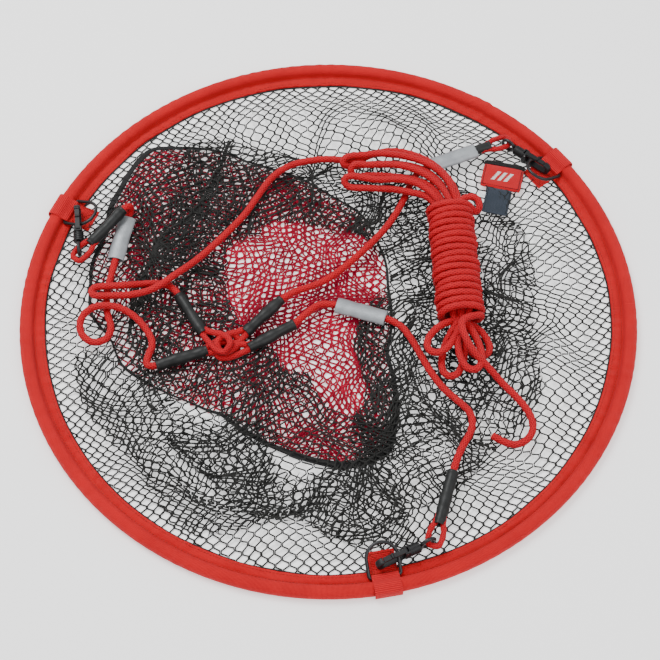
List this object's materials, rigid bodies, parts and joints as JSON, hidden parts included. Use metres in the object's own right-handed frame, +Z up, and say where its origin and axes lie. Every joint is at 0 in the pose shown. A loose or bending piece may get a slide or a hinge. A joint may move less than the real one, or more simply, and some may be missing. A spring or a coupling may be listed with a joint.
{
  "type": "folding drop net",
  "caption": "Round folding drop net for crabs and fish: sprung hoop, deep mesh wall and base, clip-on bridle cords and a hanked haul line, collapsed flat.",
  "frame": {"origin": "centre of the hoop, on the surface that the hoop and the base rest on", "axes": "+Z up, -Y towards the hoop's lower tab, X to the right"},
  "size_m": [0.6, 0.6, 0.041],
  "materials": {
    "rim_fabric": "ribbed grosgrain",
    "net_black": "knotless mesh",
    "net_red": "fine knotless mesh",
    "tape_black": "woven tape",
    "webbing_red": "woven webbing",
    "ring_black": "satin",
    "clip_black": "moulded",
    "spring_steel": "satin",
    "cord_red": "braided",
    "heatshrink_black": "satin",
    "reflective_grey": "reflective",
    "strap_red": "padded",
    "hook_tape_grey": "hook tape"
  },
  "bodies": {
    "base": {"net_base": "net_red", "base_seam_tape": "tape_black", "junction_loops": "cord_red", "haul_line": "cord_red", "hank_wraps": "cord_red", "hank_top_loops": "cord_red", "hank_tail": "cord_red", "junction_sleeve_left": "heatshrink_black", "junction_sleeve_right": "heatshrink_black", "junction_sleeve_bottom": "heatshrink_black", "junction_sleeve_haul": "heatshrink_black", "bridle_bottom": "cord_red", "bridle_right": "cord_red", "bridle_left": "cord_red", "grey_sleeve_bottom": "reflective_grey", "grey_sleeve_right": "reflective_grey", "grey_sleeve_left": "reflective_grey"},
    "hoop": {"hoop_spring": "spring_steel", "hoop_ferrule": "spring_steel", "rim_sleeve": "rim_fabric", "net_wall": "net_black", "tab_bottom": "webbing_red", "tab_right": "webbing_red", "tab_left": "webbing_red"},
    "clip_bottom": {"clip_bottom_hook": "clip_black", "clip_bottom_pin": "spring_steel", "clip_bottom_spring": "spring_steel", "loop_bottom": "cord_red", "clip_sleeve_bottom": "heatshrink_black"},
    "gate_bottom": {"clip_bottom_gate": "clip_black"},
    "eye_bottom": {"clip_bottom_eye": "ring_black"},
    "dring_bottom": {"dring_bottom": "ring_black"},
    "clip_right": {"clip_right_hook": "clip_black", "clip_right_pin": "spring_steel", "clip_right_spring": "spring_steel", "loop_right": "cord_red", "clip_sleeve_right": "heatshrink_black"},
    "gate_right": {"clip_right_gate": "clip_black"},
    "eye_right": {"clip_right_eye": "ring_black"},
    "dring_right": {"dring_right": "ring_black"},
    "clip_left": {"clip_left_hook": "clip_black", "clip_left_pin": "spring_steel", "clip_left_spring": "spring_steel", "loop_left": "cord_red", "clip_sleeve_left": "heatshrink_black"},
    "gate_left": {"clip_left_gate": "clip_black"},
    "eye_left": {"clip_left_eye": "ring_black"},
    "dring_left": {"dring_left": "ring_black"},
    "strap": {"strap_band": "strap_red", "strap_binding": "tape_black", "strap_hook_tape": "hook_tape_grey"}
  },
  "joints": [
    {"name": "hoop_lift", "type": "slide", "parent": "base", "child": "hoop", "axis": [0, 0, 1], "range_m": [0, 0.23], "deforming": ["net_wall", "bridle_bottom", "bridle_right", "bridle_left", "grey_sleeve_bottom", "grey_sleeve_right", "grey_sleeve_left"]},
    {"name": "clip_bottom_lift", "type": "hinge", "parent": "hoop", "child": "clip_bottom", "pos_m": [0.0506, -0.27844, 0.0053], "axis": [0.9839, 0.1788, 0], "range_deg": [0, 70], "deforming": ["bridle_bottom", "grey_sleeve_bottom"]},
    {"name": "dring_bottom_lift", "type": "hinge", "parent": "hoop", "child": "dring_bottom", "pos_m": [0.0506, -0.27844, 0.0053], "axis": [0.9839, 0.1788, 0], "range_deg": [0, 70]},
    {"name": "gate_bottom", "type": "hinge", "parent": "clip_bottom", "child": "gate_bottom", "pos_m": [0.06896, -0.25895, 0.0168], "axis": [-0.4274, 0.9041, 0], "range_deg": [-12, 0], "stiffness_Nm_per_rad": 0.03, "springref_deg": 14.32, "deforming": ["clip_bottom_spring"]},
    {"name": "swivel_bottom", "type": "hinge", "parent": "clip_bottom", "child": "eye_bottom", "pos_m": [0.08904, -0.24946, 0.0124], "axis": [0.9041, 0.4274, 0], "range_deg": [-12, 12]},
    {"name": "clip_right_lift", "type": "hinge", "parent": "hoop", "child": "clip_right", "pos_m": [0.22837, 0.16714, 0.0053], "axis": [-0.5906, 0.807, 0], "range_deg": [0, 70], "deforming": ["bridle_right", "grey_sleeve_right"]},
    {"name": "dring_right_lift", "type": "hinge", "parent": "hoop", "child": "dring_right", "pos_m": [0.22837, 0.16714, 0.0053], "axis": [-0.5906, 0.807, 0], "range_deg": [0, 70]},
    {"name": "gate_right", "type": "hinge", "parent": "clip_right", "child": "gate_right", "pos_m": [0.20282, 0.17515, 0.0168], "axis": [-0.6266, -0.7793, 0], "range_deg": [-12, 0], "stiffness_Nm_per_rad": 0.03, "springref_deg": 14.32, "deforming": ["clip_right_spring"]},
    {"name": "swivel_right", "type": "hinge", "parent": "clip_right", "child": "eye_right", "pos_m": [0.18552, 0.18906, 0.0124], "axis": [-0.7793, 0.6266, 0], "range_deg": [-12, 12]},
    {"name": "clip_left_lift", "type": "hinge", "parent": "hoop", "child": "clip_left", "pos_m": [-0.26031, 0.11103, 0.0053], "axis": [-0.3923, -0.9198, 0], "range_deg": [0, 60], "deforming": ["bridle_left", "grey_sleeve_left"]},
    {"name": "dring_left_lift", "type": "hinge", "parent": "hoop", "child": "dring_left", "pos_m": [-0.26031, 0.11103, 0.0053], "axis": [-0.3923, -0.9198, 0], "range_deg": [0, 60]},
    {"name": "gate_left", "type": "hinge", "parent": "clip_left", "child": "gate_left", "pos_m": [-0.24948, 0.08378, 0.0168], "axis": [0.9928, 0.1201, 0], "range_deg": [-12, 0], "stiffness_Nm_per_rad": 0.03, "springref_deg": 14.32, "deforming": ["clip_left_spring"]},
    {"name": "swivel_left", "type": "hinge", "parent": "clip_left", "child": "eye_left", "pos_m": [-0.24682, 0.06174, 0.0124], "axis": [0.1201, -0.9928, 0], "range_deg": [0, 12]},
    {"name": "strap_flip", "type": "hinge", "parent": "hoop", "child": "strap", "pos_m": [0.1817, 0.1695, 0.0063], "axis": [-0.9732, 0.23, 0], "range_deg": [0, 75]}
  ],
  "couplings": [
    {"joint": "dring_bottom_lift", "follows": "clip_bottom_lift", "ratio": 1},
    {"joint": "dring_right_lift", "follows": "clip_right_lift", "ratio": 1},
    {"joint": "dring_left_lift", "follows": "clip_left_lift", "ratio": 1}
  ]
}
